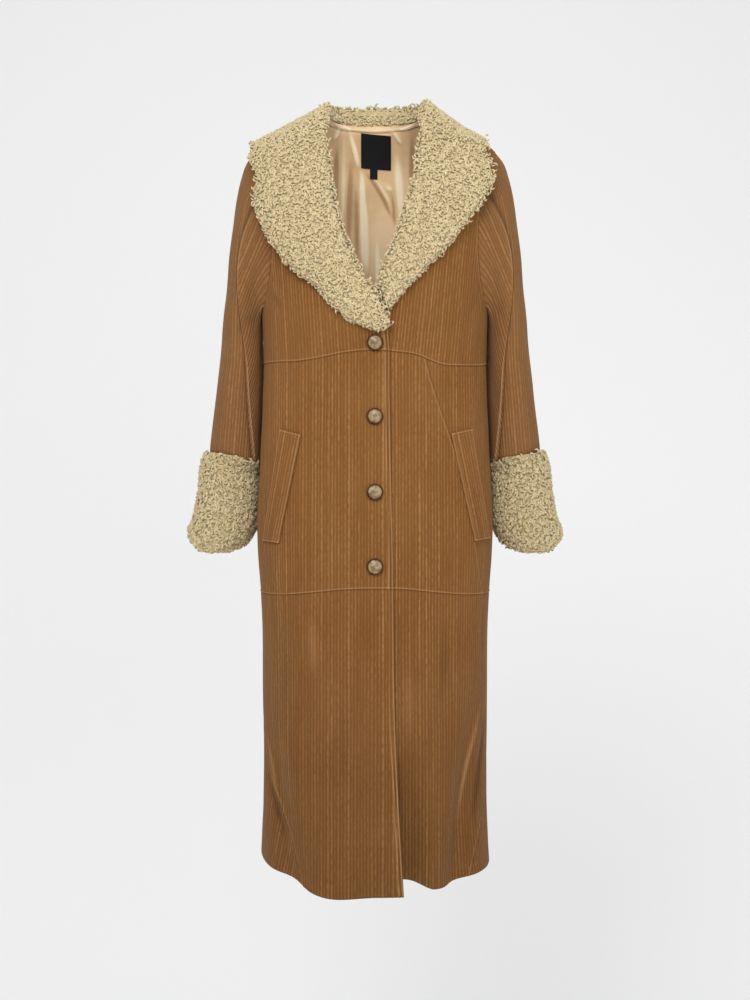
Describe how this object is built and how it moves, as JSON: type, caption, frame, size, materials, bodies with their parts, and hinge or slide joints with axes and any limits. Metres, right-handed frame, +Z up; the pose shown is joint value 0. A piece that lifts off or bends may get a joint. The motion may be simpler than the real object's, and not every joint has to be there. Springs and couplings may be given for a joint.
{
  "type": "maxi coat",
  "caption": "Long fitted coat in tan corduroy with cream fur collar, lapels and turned-back cuffs, satin lined, buttoned down the front",
  "frame": {"origin": "middle of the neck opening, level with the neck ends of the shoulder seams", "axes": "+Z up along the coat, the front faces -Y, the wearer's left side is at +X"},
  "size_m": [0.609, 0.3184, 1.281],
  "materials": {
    "corduroy": "matt corduroy with uneven wales",
    "fur": "curly pile",
    "satin": "smooth satin lining",
    "label_black": "plain woven tape",
    "button_brown": "polished, with a darker rim"
  },
  "bodies": {
    "root": {"back_skirt": "corduroy", "back_upper": "corduroy", "back_waist": "corduroy", "front_left_skirt": "corduroy", "front_right_skirt": "corduroy", "front_left_upper": "corduroy", "front_right_upper": "corduroy", "front_left_waist_center": "corduroy", "front_right_waist_center": "corduroy", "front_left_waist_side": "corduroy", "front_right_waist_side": "corduroy", "sleeve_left_top": "corduroy", "sleeve_left_under": "corduroy", "sleeve_right_top": "corduroy", "sleeve_right_under": "corduroy", "welt_left": "corduroy", "welt_right": "corduroy", "collar": "fur", "lapel_left": "fur", "lapel_right": "fur", "cuff_left": "fur", "cuff_right": "fur", "lining_left": "satin", "lining_right": "satin", "label": "label_black", "size_tab": "label_black", "button_1": "button_brown", "button_2": "button_brown", "button_3": "button_brown", "button_4": "button_brown"}
  },
  "joints": []
}
